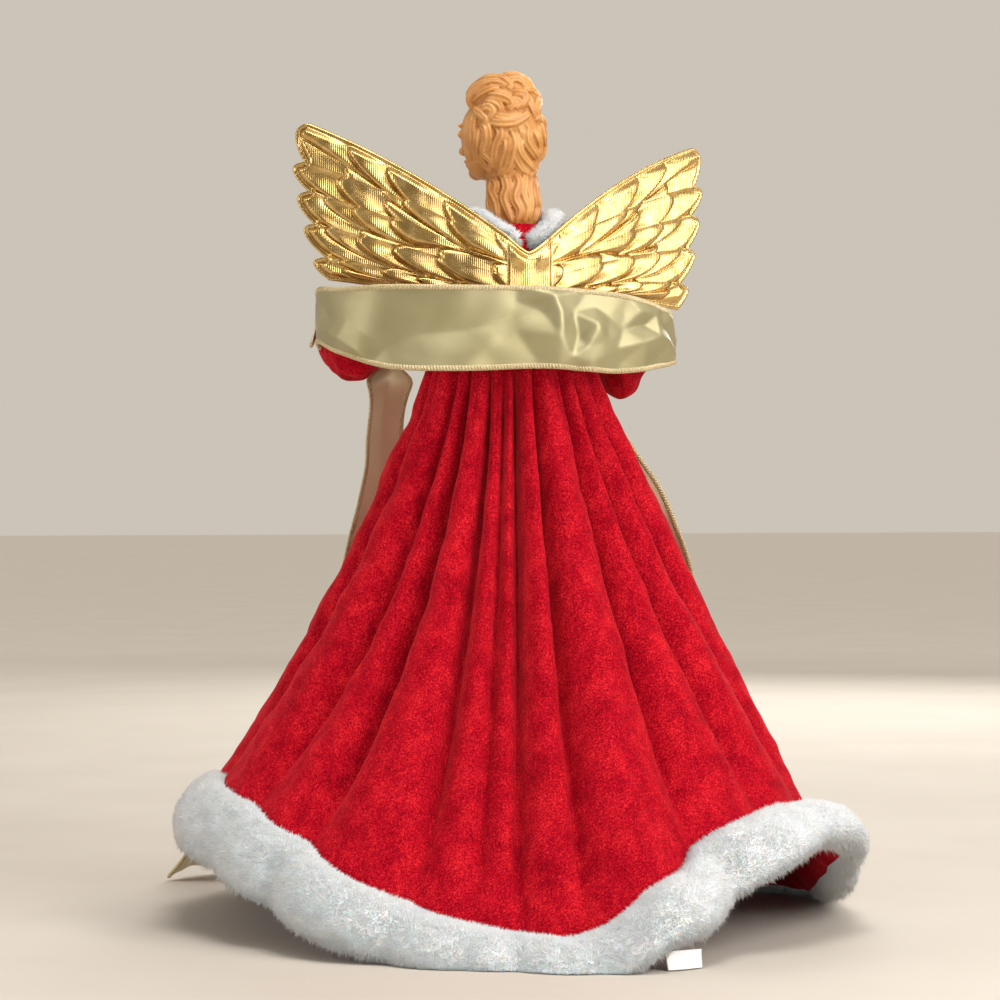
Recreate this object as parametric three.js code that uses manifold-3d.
// Angel tree topper: a card cone under a fur-hemmed velvet skirt, a dowel-mounted
// torso with wired arms, quilted wings, a wired ribbon sash and a head that turns.
// Millimetres, +Z up, the angel faces -Y and its left side is +X.
import * as THREE from 'three';
import { mergeVertices } from 'three/addons/utils/BufferGeometryUtils.js';
import Module from 'manifold-3d';

const wasm = await Module();
wasm.setup();

// Sizes.
const FIT = 0.35; // clearance between pieces that touch
const CONE_BASE_R = 80;
const CONE_TOP_R = 14;
const CONE_H = 258;
const CONE_WALL = 1.6;
const CONE_RIM_W = 6; // turned-in foot of the cone
const CONE_RIM_T = 1.6;
const CAP_FLANGE_T = 3.5;
const CAP_PLUG_H = 10;
const DOWEL_R = 4;
const TORSO_W = 62; // widest, at the chest
const TORSO_D = 44;
const TORSO_H = 66;
const BODICE_T = 2.8;
const WAIST_BAND_H = 8;
const WAIST_BAND_T = 2.6;
const SKIRT_T = 2.2;
const HEM_FUR_W = 34; // width of the plush roll
const HEM_FUR_T = 20;
const COLLAR_R = 5; // roll of the collar
const NECK_R = 7; // peg that the head turns on
const NECK_PEG_H = 15;
const HEAD_H = 76;
const HEAD_TURN = 43; // degrees to the angel's left
const HEAD_NOD = 11;
const WIRE_R = 1.2;
const SLEEVE_R = 15; // fullest, at the elbow
const CUFF_R = 14.5;
const CUFF_L = 13;
const HAND_L = 24;
const WING_SPAN = 100;
const WING_SWEEP = 25; // degrees forward
const WING_T = 6; // between the channels
const WING_CENTRE_W = 18;
const WING_SEAM = 1;
const WING_NOTCH = 7; // depth of the rounded V between the wings
const SASH_W = 38;
const SASH_T = 1.2;
const TAB_W = 17;
const TAB_H = 12;

const DEG = Math.PI / 180;
const v3 = (x, y, z) => new THREE.Vector3(x, y, z);

const VELVET = new THREE.MeshStandardMaterial({ color: 0xa80016, roughness: 0.9 });
const PLUSH = new THREE.MeshStandardMaterial({ color: 0xf1eeea, roughness: 1 });
const GOLD = new THREE.MeshStandardMaterial({ color: 0xc39a45, roughness: 0.35, metalness: 0.9 });
const RIBBON = new THREE.MeshStandardMaterial({ color: 0xcdbd8a, roughness: 0.4, metalness: 0.7 });
const VINYL = new THREE.MeshStandardMaterial({ color: 0xe0a060, roughness: 0.5 });
const CARD = new THREE.MeshStandardMaterial({ color: 0xb9a88a, roughness: 0.95 });
const WOOD = new THREE.MeshStandardMaterial({ color: 0xc8a878, roughness: 0.8 });
const FOAM = new THREE.MeshStandardMaterial({ color: 0xeeeeea, roughness: 1 });
const ELASTIC = new THREE.MeshStandardMaterial({ color: 0x9c1020, roughness: 0.9 });
const STEEL = new THREE.MeshStandardMaterial({ color: 0x9a9a9c, roughness: 0.35, metalness: 1 });

// A closed solid through a row of loops of equal length. With wrap the last
// loop joins the first, which makes a ring or a tube; without it both ends are capped.
function loft(loops, wrap = false) {
  const n = loops[0].length;
  const position = [];
  const index = [];
  for (const loop of loops) for (const p of loop) position.push(p.x, p.y, p.z);
  const rows = wrap ? loops.length : loops.length - 1;
  for (let i = 0; i < rows; i++) {
    const a = i * n;
    const b = ((i + 1) % loops.length) * n;
    for (let j = 0; j < n; j++) {
      const k = (j + 1) % n;
      index.push(a + j, a + k, b + k, a + j, b + k, b + j);
    }
  }
  if (!wrap) {
    for (const [row, flip] of [[0, true], [loops.length - 1, false]]) {
      const middle = v3(0, 0, 0);
      for (const p of loops[row]) middle.addScaledVector(p, 1 / n);
      const centre = position.length / 3;
      position.push(middle.x, middle.y, middle.z);
      for (let j = 0; j < n; j++) {
        const a = row * n + j;
        const b = row * n + ((j + 1) % n);
        index.push(centre, flip ? b : a, flip ? a : b);
      }
    }
  }
  return closed(position, index);
}

// Geometry from positions and triangles, turned to face outward.
function closed(position, index) {
  let volume = 0;
  const at = (i) => v3(position[3 * i], position[3 * i + 1], position[3 * i + 2]);
  for (let i = 0; i < index.length; i += 3) {
    volume += at(index[i]).dot(at(index[i + 1]).cross(at(index[i + 2])));
  }
  if (volume < 0) {
    for (let i = 0; i < index.length; i += 3) {
      [index[i + 1], index[i + 2]] = [index[i + 2], index[i + 1]];
    }
  }
  const geometry = new THREE.BufferGeometry();
  geometry.setAttribute('position', new THREE.Float32BufferAttribute(position, 3));
  geometry.setIndex(index);
  geometry.computeVertexNormals();
  return geometry;
}

// A sheet given by a grid of points, made solid: half(i, j) is half its thickness.
function sheet(grid, half) {
  const rows = grid.length;
  const columns = grid[0].length;
  const clamp = (i, top) => Math.min(Math.max(i, 0), top - 1);
  const at = (i, j) => grid[clamp(i, rows)][clamp(j, columns)];
  const position = [];
  for (const side of [1, -1]) {
    for (let i = 0; i < rows; i++) {
      for (let j = 0; j < columns; j++) {
        const along = at(i + 1, j).clone().sub(at(i - 1, j));
        const across = at(i, j + 1).clone().sub(at(i, j - 1));
        const normal = along.cross(across).normalize();
        const p = at(i, j).clone().addScaledVector(normal, side * half(i, j));
        position.push(p.x, p.y, p.z);
      }
    }
  }
  const index = [];
  const id = (i, j, layer) => layer * rows * columns + i * columns + j;
  const quad = (a, b, c, d) => index.push(a, b, c, a, c, d);
  for (let i = 0; i + 1 < rows; i++) {
    for (let j = 0; j + 1 < columns; j++) {
      quad(id(i, j, 0), id(i + 1, j, 0), id(i + 1, j + 1, 0), id(i, j + 1, 0));
      quad(id(i, j, 1), id(i, j + 1, 1), id(i + 1, j + 1, 1), id(i + 1, j, 1));
    }
  }
  for (let i = 0; i + 1 < rows; i++) {
    quad(id(i, 0, 1), id(i + 1, 0, 1), id(i + 1, 0, 0), id(i, 0, 0));
    const j = columns - 1;
    quad(id(i, j, 0), id(i + 1, j, 0), id(i + 1, j, 1), id(i, j, 1));
  }
  for (let j = 0; j + 1 < columns; j++) {
    quad(id(0, j, 0), id(0, j + 1, 0), id(0, j + 1, 1), id(0, j, 1));
    const i = rows - 1;
    quad(id(i, j, 1), id(i, j + 1, 1), id(i, j + 1, 0), id(i, j, 0));
  }
  return closed(position, index);
}

// A flat elliptical loop at height z.
function ellipse(z, rx, ry, cy, n) {
  const loop = [];
  for (let j = 0; j < n; j++) {
    const a = (2 * Math.PI * j) / n;
    loop.push(v3(rx * Math.sin(a), cy + ry * Math.cos(a), z));
  }
  return loop;
}

// A round loop about a point, square to a direction.
function circle(centre, direction, r, n, up = v3(0, 0, 1)) {
  const side = up.clone().cross(direction).normalize();
  const top = direction.clone().cross(side).normalize();
  const loop = [];
  for (let j = 0; j < n; j++) {
    const a = (2 * Math.PI * j) / n;
    loop.push(centre.clone().addScaledVector(side, r * Math.cos(a))
      .addScaledVector(top, r * Math.sin(a)));
  }
  return loop;
}

// A body of revolution about Z from a closed outline of [radius, height] pairs.
function turned(outline, n = 40) {
  return loft(outline.map(([r, z]) => ellipse(z, r, r, 0, n)), true);
}

const toManifold = (geometry) => {
  const bare = new THREE.BufferGeometry();
  bare.setAttribute('position', geometry.getAttribute('position').clone());
  if (geometry.index) bare.setIndex(geometry.index.clone());
  const merged = mergeVertices(bare, 1e-3);
  return new wasm.Manifold(new wasm.Mesh({
    numProp: 3,
    vertProperties: new Float32Array(merged.getAttribute('position').array),
    triVerts: new Uint32Array(merged.index.array),
  }));
};

const fromManifold = (solid) => {
  const mesh = solid.getMesh();
  const geometry = new THREE.BufferGeometry();
  geometry.setAttribute('position', new THREE.Float32BufferAttribute(mesh.vertProperties, 3));
  geometry.setIndex(Array.from(mesh.triVerts));
  geometry.computeVertexNormals();
  return geometry;
};

const without = (body, ...cuts) => fromManifold(
  cuts.reduce((solid, cut) => solid.subtract(toManifold(cut)), toManifold(body)));
const together = (...bodies) => fromManifold(
  bodies.map(toManifold).reduce((solid, next) => solid.add(next)));

const rod = (from, to, r, n = 12) => {
  const direction = to.clone().sub(from).normalize();
  const up = Math.abs(direction.z) > 0.9 ? v3(0, 1, 0) : v3(0, 0, 1);
  return loft([circle(from, direction, r, n, up), circle(to, direction, r, n, up)]);
};

const ball = (x, y, z, rx, ry, rz, detail = 14) => {
  const loops = [];
  for (let i = 1; i < detail; i++) {
    const a = (Math.PI * i) / detail;
    const loop = ellipse(z - rz * Math.cos(a), rx * Math.sin(a), ry * Math.sin(a), y, 2 * detail);
    loops.push(loop.map((p) => p.add(v3(x, 0, 0))));
  }
  return loft(loops);
};

const smooth = (t) => {
  const c = Math.min(Math.max(t, 0), 1);
  return c * c * (3 - 2 * c);
};
const mix = (a, b, t) => a + (b - a) * t;

const angel = new THREE.Group();
angel.name = 'angel_tree_topper';
function place(name, geometry, material) {
  const mesh = new THREE.Mesh(geometry, material);
  mesh.name = name;
  angel.add(mesh);
}

// Cone, its cap and the dowel.
const coneR = (z) => mix(CONE_BASE_R, CONE_TOP_R, z / CONE_H);
place('base_cone', turned([
  [CONE_BASE_R, 0], [CONE_TOP_R, CONE_H], [CONE_TOP_R - CONE_WALL, CONE_H],
  [coneR(CONE_RIM_T) - CONE_WALL, CONE_RIM_T], [CONE_BASE_R - CONE_RIM_W, CONE_RIM_T],
  [CONE_BASE_R - CONE_RIM_W, 0],
]), CARD);

const CAP_Z = CONE_H + FIT;
const capPlugR = CONE_TOP_R - CONE_WALL - FIT;
const boreR = DOWEL_R + FIT;
place('cone_cap', turned([
  [CONE_TOP_R, CAP_Z], [CONE_TOP_R, CAP_Z + CAP_FLANGE_T], [boreR, CAP_Z + CAP_FLANGE_T],
  [boreR, CAP_Z - CAP_PLUG_H], [capPlugR, CAP_Z - CAP_PLUG_H], [capPlugR, CAP_Z],
]), WOOD);

const TORSO_Z = CAP_Z + CAP_FLANGE_T + FIT;
const NECK_Z = TORSO_Z + TORSO_H + FIT;
const DOWEL_TOP = NECK_Z + 0.55 * NECK_PEG_H;
place('spine_dowel', rod(v3(0, 0, CAP_Z - CAP_PLUG_H), v3(0, 0, DOWEL_TOP), DOWEL_R, 20), WOOD);

// Torso, from the waist to the neck: [share of height, of half width, of half depth].
const TORSO_FORM = [
  [0, 0.7, 0.8], [0.33, 0.78, 0.86], [0.56, 0.95, 1], [0.75, 1, 0.94],
  [0.88, 0.82, 0.76], [1, 0.42, 0.56],
];
const TORSO_Y = 2;
const torsoLoops = (from, to, grow) => TORSO_FORM
  .filter(([t]) => t >= from && t <= to)
  .map(([t, w, d]) => ellipse(TORSO_Z + TORSO_H * t, w * TORSO_W / 2 + grow,
    d * TORSO_D / 2 + grow, TORSO_Y, 32));
const ARM_Y = -7;
const ARM_Z = TORSO_Z + 0.72 * TORSO_H;
const armHole = rod(v3(-TORSO_W, ARM_Y, ARM_Z), v3(TORSO_W, ARM_Y, ARM_Z), WIRE_R + FIT);
const dowelHole = rod(v3(0, 0, TORSO_Z - 5), v3(0, 0, NECK_Z + 5), boreR, 20);
place('torso_core', without(loft(torsoLoops(0, 1, 0)), armHole, dowelHole), FOAM);
place('bodice', without(loft([
  ...torsoLoops(0, 0.9, FIT + BODICE_T), ...torsoLoops(0, 0.9, FIT).reverse(),
], true), armHole), VELVET);

const SHOULDER_X = TORSO_W / 2 + BODICE_T + 2 * FIT;
place('shoulder_wire', rod(v3(-SHOULDER_X + 0.2, ARM_Y, ARM_Z),
  v3(SHOULDER_X - 0.2, ARM_Y, ARM_Z), WIRE_R), STEEL);

// Waist band and skirt.
const WAIST_Z = TORSO_Z + 0.33 * TORSO_H - WAIST_BAND_H;
const bodiceAt = 0.78 * TORSO_W / 2 + FIT + BODICE_T;
const bodiceDeep = 0.86 * TORSO_D / 2 + FIT + BODICE_T;
const bandLoop = (z, grow) => ellipse(z, bodiceAt + grow, bodiceDeep + grow, TORSO_Y, 32);
const BAND_TOP = WAIST_Z + WAIST_BAND_H;
place('waist_elastic', loft([
  bandLoop(BAND_TOP - WAIST_BAND_H, FIT + WAIST_BAND_T), bandLoop(BAND_TOP, FIT + WAIST_BAND_T),
  bandLoop(BAND_TOP, FIT), bandLoop(BAND_TOP - WAIST_BAND_H, FIT),
], true), ELASTIC);

// The edge where the velvet meets the fur, every 22.5 degrees from the back toward +X.
const EDGE_R = [157, 144, 139.5, 138.5, 139, 139.5, 139, 138, 139, 140, 141.5, 138, 145, 146.5, 143, 140];
const EDGE_Z = [11, 12, 29.5, 52, 66, 66, 45, 30, 27, 27, 24, 30, 29, 46, 55, 49];
// A further lift of the edge beside its lowest place: height, degrees and half width in degrees.
const EDGE_LIFT = 11;
const EDGE_LIFT_AT = -4.5;
const EDGE_LIFT_HALF = 6.5;
// How steeply the plush roll hangs there, from 0, flat outward, to 1, straight down.
const FUR_DROP = [0.38, 0.42, 0.6, 0.75, 0.8, 0.8, 0.75, 0.7, 0.65, 0.65, 0.7, 0.86, 0.72, 0.88, 0.18, 0.5];
function around(values, degrees) {
  const n = values.length;
  const t = (((degrees / 360) * n) % n + n) % n;
  const i = Math.floor(t);
  const f = t - i;
  const [a, b, c, d] = [-1, 0, 1, 2].map((k) => values[(i + k + n) % n]);
  return b + 0.5 * f * (c - a + f * (2 * a - 5 * b + 4 * c - d + f * (3 * (b - c) + d - a)));
}

// Main folds: [degrees at the waist, degrees at the hem, depth at the hem, half width].
const FOLDS = [
  [86, 100, 8, 7], [58, 77, 9, 7], [46, 60, 12, 6], [30, 36, 10, 6], [20, 24, 6, 5], [12, 16, 10, 5],
  [0, 4.5, 9, 5], [-20, -19, 10, 6], [-30, -40, 10, 6], [-42, -60, 9, 7], [-66, -82, 9, 7],
  [-92, -106, 9, 7], [-114, -128, 9, 7], [-138, -148, 9, 7], [-160, -168, 9, 7], [178, 172, 9, 7],
  [154, 148, 9, 7], [130, 124, 9, 7],
];
const GATHERS = 34; // small pleats at the waist
function foldDepth(degrees, t) {
  let depth = 0;
  for (const [top, bottom, deep, wide] of FOLDS) {
    const off = ((degrees - mix(top, bottom, t) + 540) % 360) - 180;
    depth += deep * smooth(t / 0.75 + 0.2) * Math.exp(-Math.abs(off) / wide);
  }
  return depth - 5 * smooth(t / 0.75 + 0.2);
}
const SKIRT_TOP = WAIST_Z + WAIST_BAND_H - 1;
// How far the cloth hangs in from a straight line halfway down, and where it hangs in most and least.
const SKIRT_SAG = 7;
const SKIRT_SAG_MORE = 4;
const SKIRT_SAG_AT = 107;
function skirtPoint(degrees, t, inset) {
  const a = degrees * DEG;
  const out = v3(Math.sin(a), Math.cos(a), 0);
  const waist = v3((bodiceAt + WAIST_BAND_T + 2 * FIT + SKIRT_T + 1) * out.x,
    TORSO_Y + (bodiceDeep + WAIST_BAND_T + 2 * FIT + SKIRT_T + 1) * out.y, SKIRT_TOP);
  const edge = out.clone().multiplyScalar(around(EDGE_R, degrees));
  const fromLift = (((degrees - EDGE_LIFT_AT + 540) % 360) - 180) / EDGE_LIFT_HALF;
  edge.z = around(EDGE_Z, degrees) + EDGE_LIFT * Math.exp(-(fromLift ** 2));
  const gather = Math.cos(GATHERS * a) * (1 - smooth(t / 0.5));
  const p = waist.lerp(edge, t);
  const sag = SKIRT_SAG + SKIRT_SAG_MORE * Math.cos(a - SKIRT_SAG_AT * DEG);
  p.addScaledVector(out, -sag * Math.sin(Math.PI * t));
  const slope = 0.85 * (inset + foldDepth(degrees, t) * smooth(t * 3) - gather);
  p.addScaledVector(out, -slope);
  p.z -= 0.5 * inset * smooth(t * 4) * (1 - smooth((t - 0.8) * 5));
  return p;
}
const SKIRT_COLUMNS = 96;
const SKIRT_ROWS = [0, 0.12, 0.3, 0.55, 0.8, 1];
const skirtLoop = (t, inset) => Array.from({ length: SKIRT_COLUMNS },
  (_, j) => skirtPoint((360 * j) / SKIRT_COLUMNS, t, inset));
place('skirt', loft([
  ...SKIRT_ROWS.map((t) => skirtLoop(t, 0)),
  ...SKIRT_ROWS.map((t) => skirtLoop(t, SKIRT_T)).reverse(),
], true), VELVET);

// Plush band below the velvet, flattened where it meets the table.
function furFrame(degrees) {
  const a = degrees * DEG;
  const out = v3(Math.sin(a), Math.cos(a), 0);
  const edge = skirtPoint(degrees, 1, SKIRT_T / 2);
  const drop = around(FUR_DROP, degrees);
  const down = out.clone().multiplyScalar(Math.sqrt(1 - drop ** 2));
  down.z = -drop;
  const over = v3(-down.z * out.x, -down.z * out.y, Math.hypot(down.x, down.y));
  return { edge, down, over };
}
const FUR_POINTS = 10;
const furLoop = (degrees) => {
  const { edge, down, over } = furFrame(degrees);
  const middle = edge.addScaledVector(down, HEM_FUR_W / 2 + FIT + 0.9);
  return Array.from({ length: FUR_POINTS }, (_, j) => {
    const b = (2 * Math.PI * j) / FUR_POINTS;
    const p = middle.clone().addScaledVector(down, -Math.cos(b) * HEM_FUR_W / 2)
      .addScaledVector(over, Math.sin(b) * HEM_FUR_T / 2);
    p.z = Math.max(p.z, 0.3);
    return p;
  });
};
const FUR_COLUMNS = 96;
place('hem_fur', loft(Array.from({ length: FUR_COLUMNS },
  (_, j) => furLoop((360 * j) / FUR_COLUMNS)), true), PLUSH);

const TAB_AT = -7;
{
  const lowest = (degrees) => furLoop(degrees).reduce((p, q) => (q.z < p.z ? q : p));
  const low = lowest(TAB_AT);
  const a = TAB_AT * DEG;
  const along = v3(Math.cos(a), -Math.sin(a), 0);
  const top = Math.min(...[-3, 0, 3].map((d) => lowest(TAB_AT + d).z)) - FIT;
  const rows = [top, Math.max(top - TAB_H, 0.5)].map((z) => [-0.5, 0, 0.5].map((s) => (
    v3(low.x, low.y, z).addScaledVector(along, s * TAB_W))));
  place('blank_tab', sheet(rows, () => 0.4), PLUSH);
}

// Collar: a roll round the neck, open at the back and lower there and at the front.
const collarPoint = (degrees) => {
  const a = degrees * DEG;
  const side = Math.sin(a) ** 2;
  return v3(21 * Math.sin(a), 22 * Math.cos(a) + (degrees > 90 && degrees < 270 ? -2 * side : 0),
    NECK_Z - 5 + 11 * side);
};
const COLLAR_OPEN = 17;
const collarLoops = Array.from({ length: 25 }, (_, i) => {
  const degrees = mix(COLLAR_OPEN, 360 - COLLAR_OPEN, i / 24);
  const direction = collarPoint(degrees + 1).sub(collarPoint(degrees - 1)).normalize();
  const end = Math.min(i, 24 - i);
  return circle(collarPoint(degrees), direction, COLLAR_R * [0.55, 0.9, 1][Math.min(end, 2)], 12);
});
place('collar_fur', loft(collarLoops), PLUSH);

// Neck plug and head.
const flangeTop = NECK_Z + 2;
place('neck_plug', turned([
  [11, NECK_Z], [11, flangeTop], [NECK_R, flangeTop], [NECK_R, NECK_Z + NECK_PEG_H],
  [0.8, NECK_Z + NECK_PEG_H], [0.8, DOWEL_TOP + FIT], [boreR, DOWEL_TOP + FIT], [boreR, NECK_Z],
], 28), WOOD);

const HEAD_Z = flangeTop + FIT;
const h = HEAD_H / 76;
const hair = (x, y, z, rx, ry, rz, detail = 8) => ball(h * x, h * y, h * z, h * rx, h * ry, h * rz, detail);
const skull = together(
  hair(0, 3, 52, 20, 21, 21, 12), hair(0, -6, 46, 15.5, 16, 19, 10), hair(0, -13, 33.5, 8, 7.5, 7),
  hair(0, -22, 43, 2.8, 4.5, 4.5, 8), hair(-7, -2, 68, 9, 13, 8), hair(7, -1, 67, 9, 13, 8),
  hair(0, 21, 57, 11, 6, 7), hair(-9, 15, 45, 10, 9, 14), hair(9, 15, 45, 10, 9, 14),
  hair(0, 12, 28, 13, 9, 20),
);
const nod = new THREE.Matrix4().makeRotationX(HEAD_NOD * DEG);
const nodded = skull.applyMatrix4(nod).translate(0, 0, HEAD_Z);
const neckSkin = turned([
  [13.5, HEAD_Z], [12, HEAD_Z + 12 * h], [11, HEAD_Z + 34 * h], [0.5, HEAD_Z + 34 * h], [0.5, HEAD_Z],
], 28);
const socket = rod(v3(0, 0, HEAD_Z - 30), v3(0, 0, NECK_Z + NECK_PEG_H + 2 * FIT), NECK_R + FIT, 28);
const below = rod(v3(0, 0, HEAD_Z - 60), v3(0, 0, HEAD_Z), 60, 16);
const headSolid = without(together(nodded, neckSkin, rod(v3(0, 0, HEAD_Z), v3(0, 0, HEAD_Z + 34 * h), 2)),
  socket, below);
place('head', headSolid.rotateZ(HEAD_TURN * DEG), VINYL);

// Arms, given for the left side and mirrored for the right: sleeve, cuff, hand and wire.
const ARM = [
  [v3(SHOULDER_X, ARM_Y, ARM_Z), v3(1, 0, 0), 0.72],
  [v3(49, -12, ARM_Z - 9), v3(0.8, -0.3, -0.52), 0.85],
  [v3(64, -22, ARM_Z - 29), v3(0.5, -0.5, -0.7), 0.98],
  [v3(68, -33, ARM_Z - 37), v3(-0.05, -0.95, -0.3), 1],
  [v3(69, -47, ARM_Z - 36), v3(-0.05, -0.98, 0.12), 0.92],
  [v3(67, -60, ARM_Z - 33), v3(-0.15, -0.96, 0.24), 0.86],
];
const [WRIST, WRIST_DIRECTION] = ARM[ARM.length - 1];
WRIST_DIRECTION.normalize();
const wristAt = (d) => WRIST.clone().addScaledVector(WRIST_DIRECTION, d);
const armLoops = (r, n) => ARM.map(([p, d, share]) => circle(p, d, r(share), n));
const mirrored = (geometry) => {
  const flipped = geometry.clone().scale(-1, 1, 1);
  const index = Array.from(flipped.index.array);
  return closed(Array.from(flipped.getAttribute('position').array), index);
};
const wireBore = WIRE_R + FIT;
const sleeve = loft([...armLoops((s) => SLEEVE_R * s, 24), ...armLoops(() => wireBore, 24).reverse()], true);
const cuffFrom = FIT;
const wristR = 6.5;
const cuffForm = [[0, 0.86], [0.15, 0.98], [0.5, 1], [0.85, 0.97], [1, 0.84]];
const cuffLoop = (t, r) => circle(wristAt(cuffFrom + CUFF_L * t), WRIST_DIRECTION, r, 24);
const cuff = loft([
  ...cuffForm.map(([t, s]) => cuffLoop(t, CUFF_R * s)),
  ...cuffForm.map(([t]) => cuffLoop(t, wristR + FIT)).reverse(),
], true);
const handForm = [[0, 6, 6], [0.48, 5.6, 5], [0.62, 7, 4.6], [0.75, 7.4, 4], [0.92, 5.4, 3], [1, 2.6, 1.6]];
const handSide = v3(0, 0, 1).cross(WRIST_DIRECTION).normalize();
const handTop = WRIST_DIRECTION.clone().cross(handSide).normalize();
const handFrom = 1;
const handLoops = handForm.map(([t, wide, thick]) => Array.from({ length: 20 }, (_, j) => {
  const b = (2 * Math.PI * j) / 20;
  return wristAt(handFrom + HAND_L * t).addScaledVector(handTop, wide * Math.cos(b))
    .addScaledVector(handSide, thick * Math.sin(b));
}));
const hand = without(loft(handLoops), rod(wristAt(-2), wristAt(8), wireBore));
const wireLoops = [
  circle(v3(SHOULDER_X, ARM_Y, ARM_Z), v3(1, 0, 0), WIRE_R, 10),
  ...ARM.slice(1).map(([p, d]) => circle(p, d, WIRE_R, 10)),
  circle(wristAt(7), WRIST_DIRECTION, WIRE_R, 10),
];
const wire = loft(wireLoops);
const armPieces = [
  ['sleeve', sleeve, VELVET], ['cuff', cuff, PLUSH], ['hand', hand, VINYL], ['arm_wire', wire, STEEL],
];
for (const [name, geometry, material] of armPieces) {
  place(`left_${name}`, geometry, material);
  place(`right_${name}`, mirrored(geometry), material);
}

// Wings: each is a fan of five feathers from the centre seam to scalloped tips.
const FEATHERS = 5;
const WING_ROOT_Y = TORSO_Y + TORSO_D / 2 + BODICE_T + 2 * FIT + WING_T / 2;
const WING_HIGH = NECK_Z - 4;
const WING_LOW = NECK_Z - 36;
const rootZ = (t) => mix(WING_HIGH, WING_LOW, t);
const tipOut = [0.94, 0.975, 0.95, 0.925, 0.865, 0.85];
const tipZ = [51, 32.5, 18.5, 3, -13, -24];
const ramp = (values, t) => {
  const i = Math.min(Math.floor(t * FEATHERS), FEATHERS - 1);
  return mix(values[i], values[i + 1], t * FEATHERS - i);
};
function wingPoint(u, t) {
  const f = (t * FEATHERS) % 1;
  const scallop = 0.06 * (f < 0.2 ? Math.sqrt(Math.sin((Math.PI * f) / 0.4)) : 1 - ((f - 0.2) / 0.8) ** 1.4);
  const out = ramp(tipOut, t) + (t >= 1 ? 0 : scallop);
  const rise = 7 * 4 * u * (1 - u) * (1 - t) ** 2;
  const along = u * out * WING_SPAN;
  const z = mix(rootZ(t), NECK_Z + ramp(tipZ, t), u) + rise;
  return v3(WING_CENTRE_W / 2 + WING_SEAM + along * Math.cos(WING_SWEEP * DEG),
    WING_ROOT_Y - along * Math.sin(WING_SWEEP * DEG), z);
}
const WING_U = [0, 0.08, 0.13, 0.24, 0.32, 0.36, 0.42, 0.5, 0.56, 0.6, 0.68, 0.75, 0.79, 0.86, 0.95, 1];
const WING_V = [...Array.from({ length: FEATHERS }, (_, k) => (
  [0, 0.08, 0.2, 0.45, 0.72].map((f) => (k + f) / FEATHERS))).flat(), 1];
const CELL_ENDS = [0.13, 0.36, 0.59, 0.79]; // rows of quilted cells, from the root
const channel = (x, width) => 1 - 0.62 * Math.exp(-((x / width) ** 2));
function wingHalf(u, t) {
  const f = (t * FEATHERS + 0.8 * u) % 1;
  const seam = channel(Math.min(f, 1 - f) / FEATHERS, 0.025);
  const rows = CELL_ENDS.reduce((share, end) => share * channel(u - end, 0.03), 1);
  const border = Math.min(smooth(u / 0.06), smooth((1 - u) / 0.06), smooth(t / 0.06), smooth((1 - t) / 0.06));
  return (WING_T / 2) * mix(0.3, seam * rows, border);
}
const wing = sheet(WING_U.map((u) => WING_V.map((t) => wingPoint(u, t))),
  (i, j) => wingHalf(WING_U[i], WING_V[j]));
place('left_wing', wing, GOLD);
place('right_wing', mirrored(wing), GOLD);

const CENTRE_U = [-1, -0.9, -0.5, -0.08, 0.08, 0.5, 0.9, 1];
const CENTRE_V = [0, 0.08, 0.3, 0.5, 0.7, 0.92, 1];
place('wing_centre', sheet(CENTRE_U.map((u) => CENTRE_V.map((t) => v3(
  u * WING_CENTRE_W / 2, WING_ROOT_Y, rootZ(t) - WING_NOTCH * (1 - Math.abs(u) ** 1.5) * (1 - t) ** 2))),
(i, j) => (WING_T / 2) * Math.min(1, 0.3 + 1.6 * (1 - Math.abs(CENTRE_U[i])),
  0.3 + 4 * Math.min(CENTRE_V[j], 1 - CENTRE_V[j]))), GOLD);

// Ribbon sash: across the back outside the arms, then a tail over each forearm.
const SASH_PLAN = [
  [86, -36], [90, -18], [85, 9], [68, 32], [38, 45], [0, 48],
  [-38, 45], [-66, 32], [-79, 10], [-87, -18], [-86, -36],
].map(([x, y]) => v3(x, y, 0));
const sashCurve = new THREE.CatmullRomCurve3(SASH_PLAN);
const SASH_TOP = [-32, -27, -28.5, -28.5, -29, -29, -31, -36, -40, -42, -42];
const SASH_SHARE = [0.62, 0.69, 0.82, 1.02, 1.04, 1, 0.99, 0.76, 0.56, 0.6, 0.66];
const stepAt = (values, t) => {
  const s = t * (values.length - 1);
  const i = Math.min(Math.floor(s), values.length - 2);
  return mix(values[i], values[i + 1], smooth(s - i));
};
const SASH_LONG = 40;
const SASH_ACROSS = [0, 0.25, 0.5, 0.75, 1];
place('sash_back', sheet(Array.from({ length: SASH_LONG + 1 }, (_, i) => {
  const t = i / SASH_LONG;
  const p = sashCurve.getPoint(t);
  const tangent = sashCurve.getTangent(t);
  const out = v3(tangent.y, -tangent.x, 0).normalize().multiplyScalar(-1);
  return SASH_ACROSS.map((s) => {
    const q = p.clone().addScaledVector(out, 2.4 * Math.sin(Math.PI * s) + 1.2 * Math.sin(21 * t + 3 * s));
    q.z = NECK_Z + stepAt(SASH_TOP, t) - s * SASH_W * stepAt(SASH_SHARE, t);
    return q;
  });
}), () => SASH_T / 2), RIBBON);

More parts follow.
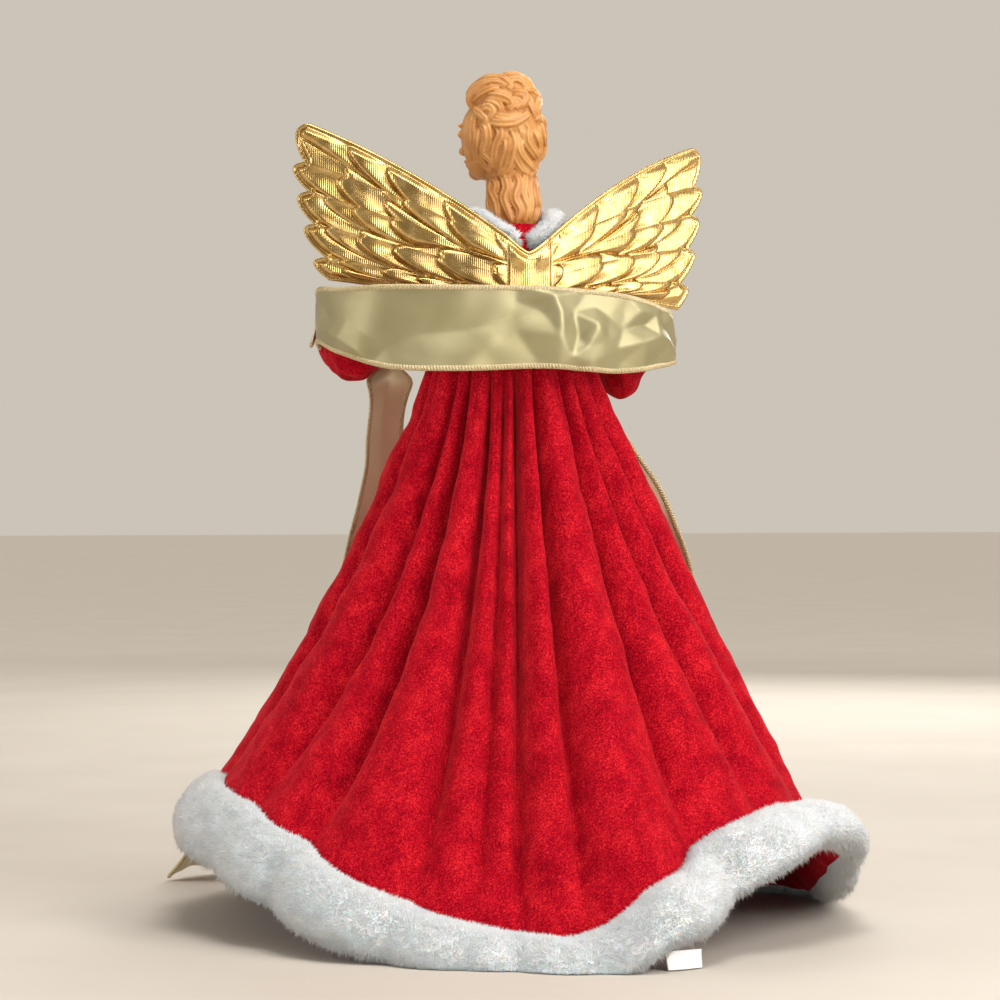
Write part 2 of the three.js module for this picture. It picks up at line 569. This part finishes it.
// A tail: a path, with the direction of its width and its share of the full width at each point.
function tail(path) {
  const curve = new THREE.CatmullRomCurve3(path.map(([p]) => p));
  const n = 4 * (path.length - 1);
  return sheet(Array.from({ length: n + 1 }, (_, i) => {
    const t = i / n;
    const s = t * (path.length - 1);
    const k = Math.min(Math.floor(s), path.length - 2);
    const wide = path[k][1].clone().lerp(path[k + 1][1], s - k).normalize();
    const share = mix(path[k][2], path[k + 1][2], s - k);
    const p = curve.getPoint(t);
    const normal = curve.getTangent(t).cross(wide).normalize();
    return SASH_ACROSS.map((a) => p.clone().addScaledVector(wide, (a - 0.5) * SASH_W * share)
      .addScaledVector(normal, 2.5 * Math.sin(Math.PI * a) * smooth(i / 3)));
  }), () => SASH_T / 2);
}
const TAIL_TOP = ARM_Z - 14;
place('left_sash_tail', tail([
  [v3(86, -41, TAIL_TOP - 10), v3(0.2, -0.3, -1), 0.62],
  [v3(80, -48, TAIL_TOP - 5.5), v3(-0.1, -0.9, -0.3), 0.5],
  [v3(69, -49, TAIL_TOP - 4.9), v3(-0.1, -0.97, 0.12), 0.48],
  [v3(57, -47, TAIL_TOP - 9.5), v3(-0.1, -0.97, 0.12), 0.5],
  [v3(49, -45, TAIL_TOP - 24), v3(-0.1, -0.98, 0.05), 0.55],
  [v3(47, -52, TAIL_TOP - 52), v3(0.6, 0.75, 0), 0.62],
  [v3(46, -76, TAIL_TOP - 105), v3(0.8, 0.5, 0), 0.75],
  [v3(58, -104, TAIL_TOP - 163), v3(0.85, 0.5, 0), 0.9],
  [v3(80, -138, TAIL_TOP - 222), v3(0.85, 0.5, 0), 1],
  [v3(104, -163, TAIL_TOP - 270), v3(0.85, 0.52, 0), 1],
  [v3(120, -180, 3), v3(0.85, 0.52, 0), 1],
]), RIBBON);
place('right_sash_tail', tail([
  [v3(-88, -42, TAIL_TOP - 11), v3(0.1, 0.3, 1), 0.62],
  [v3(-80, -48, TAIL_TOP - 5.6), v3(-0.1, 0.9, 0.3), 0.5],
  [v3(-69, -49, TAIL_TOP - 4.9), v3(-0.1, 0.97, -0.12), 0.48],
  [v3(-57, -47, TAIL_TOP - 9.6), v3(-0.1, 0.97, -0.12), 0.5],
  [v3(-49, -45, TAIL_TOP - 24), v3(-0.1, 0.98, -0.05), 0.55],
  [v3(-56, -46, TAIL_TOP - 54), v3(-0.8, 0.6, 0), 0.62],
  [v3(-80, -52, TAIL_TOP - 98), v3(-0.7, 0.7, 0), 0.85],
  [v3(-99, -70, TAIL_TOP - 148), v3(-0.6, 0.8, 0), 1],
  [v3(-106, -100, TAIL_TOP - 198), v3(-0.6, 0.8, 0), 1],
  [v3(-114, -124, TAIL_TOP - 245), v3(-0.65, 0.76, 0), 1],
  [v3(-124, -142, 6), v3(-0.7, 0.7, 0), 1],
]), RIBBON);

export default angel;
